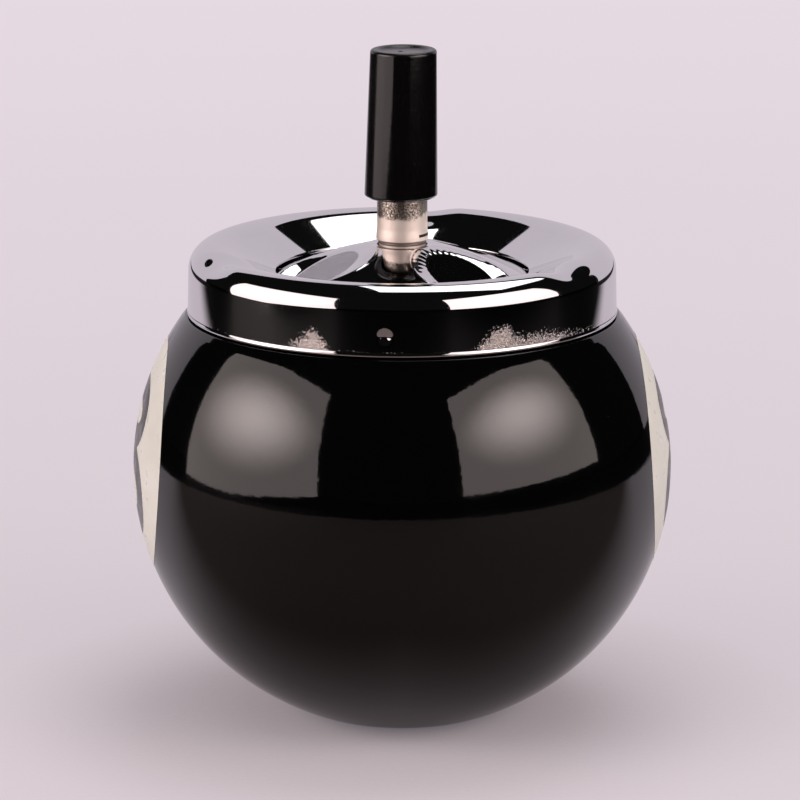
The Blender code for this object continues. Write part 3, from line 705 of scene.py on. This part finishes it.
def build_tray():
    """The tray's face from the hub out, its rolled edge, and its underside."""
    line = rounded([(SLEEVE_R, HUB_Z - 0.6, 0), (SLEEVE_R, HUB_Z, 0.15), (HUB_R, HUB_Z - 0.02, 0)])
    for i in range(1, 121):
        radius = HUB_R + (TRAY_R - HUB_R) * i / 120
        line.append(Vector((radius, tray_height(radius))))
    edge = tray_height(TRAY_R)
    roll = ((0.2, 0.12), (TRAY_HEM, 0.4), (TRAY_HEM, 1.05), (-0.2, 1.05), (-0.3, 0.7))
    line += [Vector((TRAY_R + out, edge - down)) for out, down in roll]
    for i in range(94, -1, -2):
        radius = HUB_R + (TRAY_R - HUB_R) * i / 94
        line.append(Vector((radius, tray_height(radius) - TRAY_WALL)))
    tray = lathe("spin_tray", line, 400, closed=True, press=press_wells)
    dress(tray, "spinner", "chrome", TRAY_CHROME, "tray")


def build_sleeve():
    """The tube with its bead and groove, and the narrower end that goes through the tray."""
    r, top, low = SLEEVE_R, SLEEVE_HIGH.z, SLEEVE_LOW.z
    corners = [(SLEEVE_BORE, top, 0.15), (r, top, 0.3), (r, HUB_Z + 3.4, 2.0), (r + 0.16, HUB_Z + 1.9, 0.8)]
    corners += [(r + 0.2, HUB_Z + 1.0, 0.3), (r - 0.5, HUB_Z + 0.85, 0.1), (r - 0.5, HUB_Z + 0.42, 0.1)]
    corners += [(r - 0.1, HUB_Z + 0.3, 0.05), (SPIGOT_R, HUB_Z + 0.28, 0.05)]
    corners += [(SPIGOT_R, low, 0.2), (SLEEVE_BORE, low, 0.2)]
    sleeve = lathe("sleeve_tube", rounded(corners, closed=True), 128, closed=True)
    dress(sleeve, "spinner", "nickel", NICKEL, "sleeve")


# ---- Knob ----------------------------------------------------------------------------


KNOB_LEAN = 0.017  # sideways for each millimetre of height
UPRIGHT_Z = 122  # the height that the lean leaves in place
BORE_TOP = 131.2


def lean(x, y, z):
    return x + KNOB_LEAN * (z - UPRIGHT_Z), y, z


def build_knob():
    """The knob, slightly hollow on top and open below."""
    top, low = KNOB_HIGH.z + 0.03, KNOB_LOW.z
    corners = [(0, top - 0.55, 0), (4.3, top - 0.5, 1.0), (5.3, top - 0.08, 0.6), (6.7, top, 1.0)]
    corners += [(7.4, low - 0.2, 0.5), (6.9, low - 0.6, 0.3), (5.5, low - 0.6, 0.15)]
    corners += [(5.5, BORE_TOP, 0.4), (0, BORE_TOP, 0)]
    knob = lathe("push_knob", rounded(corners), 144, press=lean)
    dress(knob, "plunger", "black_plastic", PLASTIC, "knob")


# ---- Spring ----------------------------------------------------------------------------


WIRE_R = 0.4
COIL_R = 3.4
COILS = 10
END_RISE = 0.95  # of the closed turn at each end


def build_spring():
    """The coil as one round wire, with a closed turn at each end."""
    low, high = SPRING_LOW.z + WIRE_R, SPRING_HIGH.z - WIRE_R
    pitch = (high - low - 2 * END_RISE) / (COILS - 2)
    steps, around = COILS * 40, 12
    bm = bmesh.new()
    rings = []

    def centre(t):
        z = low + min(t, 1) * END_RISE + min(max(t - 1, 0), COILS - 2) * pitch
        z += max(t - COILS + 1, 0) * END_RISE
        return Vector((COIL_R * math.cos(TURN * t), COIL_R * math.sin(TURN * t), z))

    for i in range(steps + 1):
        t = COILS * i / steps
        ahead = (centre(min(t + 0.01, COILS)) - centre(max(t - 0.01, 0))).normalized()
        out = Vector((math.cos(TURN * t), math.sin(TURN * t), 0))
        up = ahead.cross(out).normalized()
        angles = [TURN * k / around for k in range(around)]
        skin = [centre(t) + WIRE_R * (out * math.cos(a) + up * math.sin(a)) for a in angles]
        rings.append([bm.verts.new(point * MM) for point in skin])
    for first, second in zip(rings, rings[1:]):
        for k in range(around):
            n = (k + 1) % around
            bm.faces.new((first[k], first[n], second[n], second[k]))
    bm.faces.new(rings[0])
    bm.faces.new(rings[-1])
    bmesh.ops.recalc_face_normals(bm, faces=bm.faces)
    spring = dress(finished("coil_spring", bm), "lid", "spring_steel", STEEL, "return_spring")
    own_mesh(spring)


build_bowl()
build_disc(-1, "left")
build_disc(1, "right")
build_rim()
build_tray()
build_sleeve()
build_knob()
build_spring()

INNER = {
    "bridge_strap": ZINC, "nut_cage": ZINC, "cage_rivet_left": ZINC, "cage_rivet_right": ZINC,
    "drive_nut": BRASS, "spring_seat": ZINC, "hub_washer": ZINC, "hub_nut": ZINC, "sleeve_plug": ZINC,
    "spindle": ZINC, "spindle_clip": ZINC, "spindle_pin": STEEL, "thrust_washer": BRASS, "knob_bush": NYLON,
}
for node, finish in INNER.items():
    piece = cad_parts[node]
    piece.data.materials.clear()
    piece.data.materials.append(finish)


# ---- Studio --------------------------------------------------------------------------


FAR_PAPER = (0.78, 0.69, 0.75)  # what the camera sees behind the object


def flat_sheet(name, corners, finish):
    """One face of the studio."""
    bm = bmesh.new()
    bm.faces.new([bm.verts.new(Vector(corner) * MM) for corner in corners])
    obj = finished(name, bm)
    obj.data.materials.append(finish)


def table_paint():
    """Pale paper. Reflections see it end a little way in front of the object, with the dark room beyond."""
    paper = (0.71, 0.69, 0.72)
    paint = Paint("table_paper", paper, 0.0, 0.7, 1.3)
    x, y = paint.coordinate("X"), paint.coordinate("Y")
    fibre = paint.remap(paint.noise(900, 3, 0.6), 0.3, 0.7, 0.97, 1.02)
    scaled = paint.node("ShaderNodeVectorMath", operation="SCALE")
    scaled.inputs[0].default_value = paper
    paint.link(fibre, scaled.inputs["Scale"])
    distance = paint.math("POWER", paint.plus(paint.times(x, x), paint.times(y, y)), 0.5)
    beside = paint.math("ABSOLUTE", x, 0.0)
    behind = paint.minus(y, paint.times(beside, 0.35))
    front = paint.remap(behind, -0.07, 0.0, 1.0, 0.0, True)
    past_side = paint.remap(beside, 0.315, 0.405, 0.0, 1.0, True)
    off_paper = paint.most(past_side, paint.math("LESS_THAN", y, 0.0))
    dark = paint.times(off_paper, paint.math("GREATER_THAN", distance, 0.405))
    reflected = paint.mix(front, scaled.outputs["Vector"], (0.17, 0.147, 0.14))
    reflected = paint.mix(dark, reflected, (0.002, 0.002, 0.002))
    path = paint.node("ShaderNodeLightPath")
    glossy = path.outputs["Is Glossy Ray"]
    paint.colour(paint.mix(glossy, scaled.outputs["Vector"], reflected))
    paint.shader.inputs["Specular IOR Level"].default_value = 0.1
    paint.bump(paint.noise(1300, 3, 0.6), 0.05, 0.0002)
    # Paper further off is lit as evenly as a swept studio table, for the camera and in reflections.
    ramp = paint.node("ShaderNodeValToRGB")
    stops = ((0.0, 0.15), (0.03, 0.17), (0.042, 0.25), (0.056, 0.34), (0.085, 0.60))
    stops += ((0.12, 0.66), (0.2, 0.74), (0.4, 0.88), (0.75, 0.97), (1.0, 1.0))
    for position, value in stops[1:-1]:
        ramp.color_ramp.elements.new(position)
    for element, (position, value) in zip(ramp.color_ramp.elements, stops):
        element.position, element.color = position, (value, value, value, 1)
    paint.link(distance, ramp.inputs["Fac"])
    hidden = paint.times(glossy, paint.most(front, dark))
    shown = paint.times(ramp.outputs["Color"], paint.minus(1.0, hidden))
    share = paint.times(shown, paint.most(glossy, path.outputs["Is Camera Ray"]))
    glow = paint.glow(paint.mix(glossy, (0.79, 0.695, 0.76), (0.62, 0.55, 0.61)))
    paint.surface(paint.blend(share, paint.shader.outputs[0], glow))
    return paint.material


def backdrop_paint():
    """Pale paper behind the table, even for the camera and in reflections."""
    paint = Paint("backdrop_paper", (0.70, 0.62, 0.66), 0.0, 0.8, 1.3)
    paint.colour(paint.mix(paint.noise(4, 2), (0.70, 0.62, 0.66), (0.69, 0.61, 0.65)))
    rays = paint.node("ShaderNodeLightPath").outputs
    reflected = paint.blend(rays["Is Glossy Ray"], paint.shader.outputs[0], paint.glow((0.60, 0.545, 0.60)))
    paint.surface(paint.blend(rays["Is Camera Ray"], reflected, paint.glow(FAR_PAPER)))
    return paint.material


def build_world():
    """A dim room that is dark in reflections and pale for the camera."""
    sky = bpy.data.worlds.new("room")
    bpy.context.scene.world = sky
    sky.use_nodes = True
    nodes, links = sky.node_tree.nodes, sky.node_tree.links
    nodes.clear()
    rays = nodes.new("ShaderNodeLightPath").outputs

    def background(colour, strength=1.0):
        made = nodes.new("ShaderNodeBackground")
        made.inputs["Color"].default_value = (*colour, 1)
        made.inputs["Strength"].default_value = strength
        return made.outputs[0]

    def blend(*sources):
        made = nodes.new("ShaderNodeMixShader")
        for source, socket in zip(sources, made.inputs):
            links.new(source, socket)
        return made.outputs[0]

    room, dark = background((0.80, 0.76, 0.78), 0.16), background((0.004, 0.004, 0.004))
    around = blend(rays["Is Glossy Ray"], room, dark)
    shown = blend(rays["Is Camera Ray"], around, background(FAR_PAPER))
    links.new(shown, nodes.new("ShaderNodeOutputWorld").inputs["Surface"])


def soft_light(name, width, height, strength, edge, tint=(1, 1, 1)):
    """A rectangular soft light, as bright at its rim as edge times its middle."""
    light = bpy.data.lights.new(name, "AREA")
    light.shape = "RECTANGLE"
    light.size, light.size_y = width * MM, height * MM
    light.color = tint
    # Watts over the light's area that give this radiance in its middle.
    light.energy = strength * math.pi * light.size * light.size_y
    light.use_nodes = True
    nodes, links = light.node_tree.nodes, light.node_tree.links
    place = nodes.new("ShaderNodeNewGeometry").outputs["Parametric"]
    taller, away = nodes.new("ShaderNodeVectorMath"), nodes.new("ShaderNodeVectorMath")
    taller.operation, away.operation = "MULTIPLY", "DISTANCE"
    taller.inputs[1].default_value = (1.0, 1.3, 0.0)
    away.inputs[1].default_value = (0.5, 0.65, 0.0)
    links.new(place, taller.inputs[0])
    links.new(taller.outputs[0], away.inputs[0])
    fall = nodes.new("ShaderNodeMapRange")
    fall.interpolation_type = "SMOOTHSTEP"
    for socket, value in zip(MAP_SOCKETS, (0.0, 0.52, 1.0, edge)):
        fall.inputs[socket].default_value = value
    links.new(away.outputs["Value"], fall.inputs["Value"])
    links.new(fall.outputs["Result"], nodes["Emission"].inputs["Strength"])
    obj = bpy.data.objects.new(name, light)
    bpy.context.scene.collection.objects.link(obj)
    return obj


def face_axis(obj, azimuth, distance, middle_z, roll):
    """Stands a light beside the object, turned to the z axis."""
    az = math.radians(azimuth)
    obj.location = Vector((math.sin(az) * distance, -math.cos(az) * distance, middle_z)) * MM
    turn = Vector((-math.sin(az), math.cos(az), 0)).to_track_quat("-Z", "Y")
    obj.rotation_euler = turn.to_euler()
    obj.rotation_euler.rotate_axis("Z", math.radians(roll))


TABLE_HALF = 2600
TABLE_Z = -0.05
BACK_HALF, BACK_Y, BACK_HIGH = 1500, 1150, 1060
square = ((-1, -1), (1, -1), (1, 1), (-1, 1))
flat_sheet("table_top", [(TABLE_HALF * a, TABLE_HALF * b, TABLE_Z) for a, b in square], table_paint())
back = [(-BACK_HALF, 0), (BACK_HALF, 0), (BACK_HALF, BACK_HIGH), (-BACK_HALF, BACK_HIGH)]
flat_sheet("backdrop_sweep", [(x, BACK_Y, z) for x, z in back], backdrop_paint())
build_world()

WARM = (1.0, 0.86, 0.84)
LIGHT_DISTANCE = 560
left_light = soft_light("soft_box_left", 727, 565, 6.3, 0.22, WARM)
face_axis(left_light, -69, LIGHT_DISTANCE, 290, 6.5)
right_light = soft_light("soft_box_right", 700, 560, 5.9, 0.24, WARM)
face_axis(right_light, 56, LIGHT_DISTANCE, 350, 1)
top_light = soft_light("soft_box_above", 470, 560, 2.2, 0.8)
top_light.location = Vector((165, 235, 700)) * MM

CAMERA_PLACE = (-0.00045, -0.900, 0.282)  # metres
CAMERA_DOWN = 13.58  # degrees
camera = bpy.data.objects.new("camera", bpy.data.cameras.new("camera"))
bpy.context.scene.collection.objects.link(camera)
camera.location = CAMERA_PLACE
camera.rotation_euler = (math.radians(90 - CAMERA_DOWN), 0, 0)
camera.data.sensor_width = 36
camera.data.lens = 203.85
camera.data.clip_end = 10
bpy.context.scene.camera = camera
bpy.context.scene.view_settings.view_transform = "Standard"
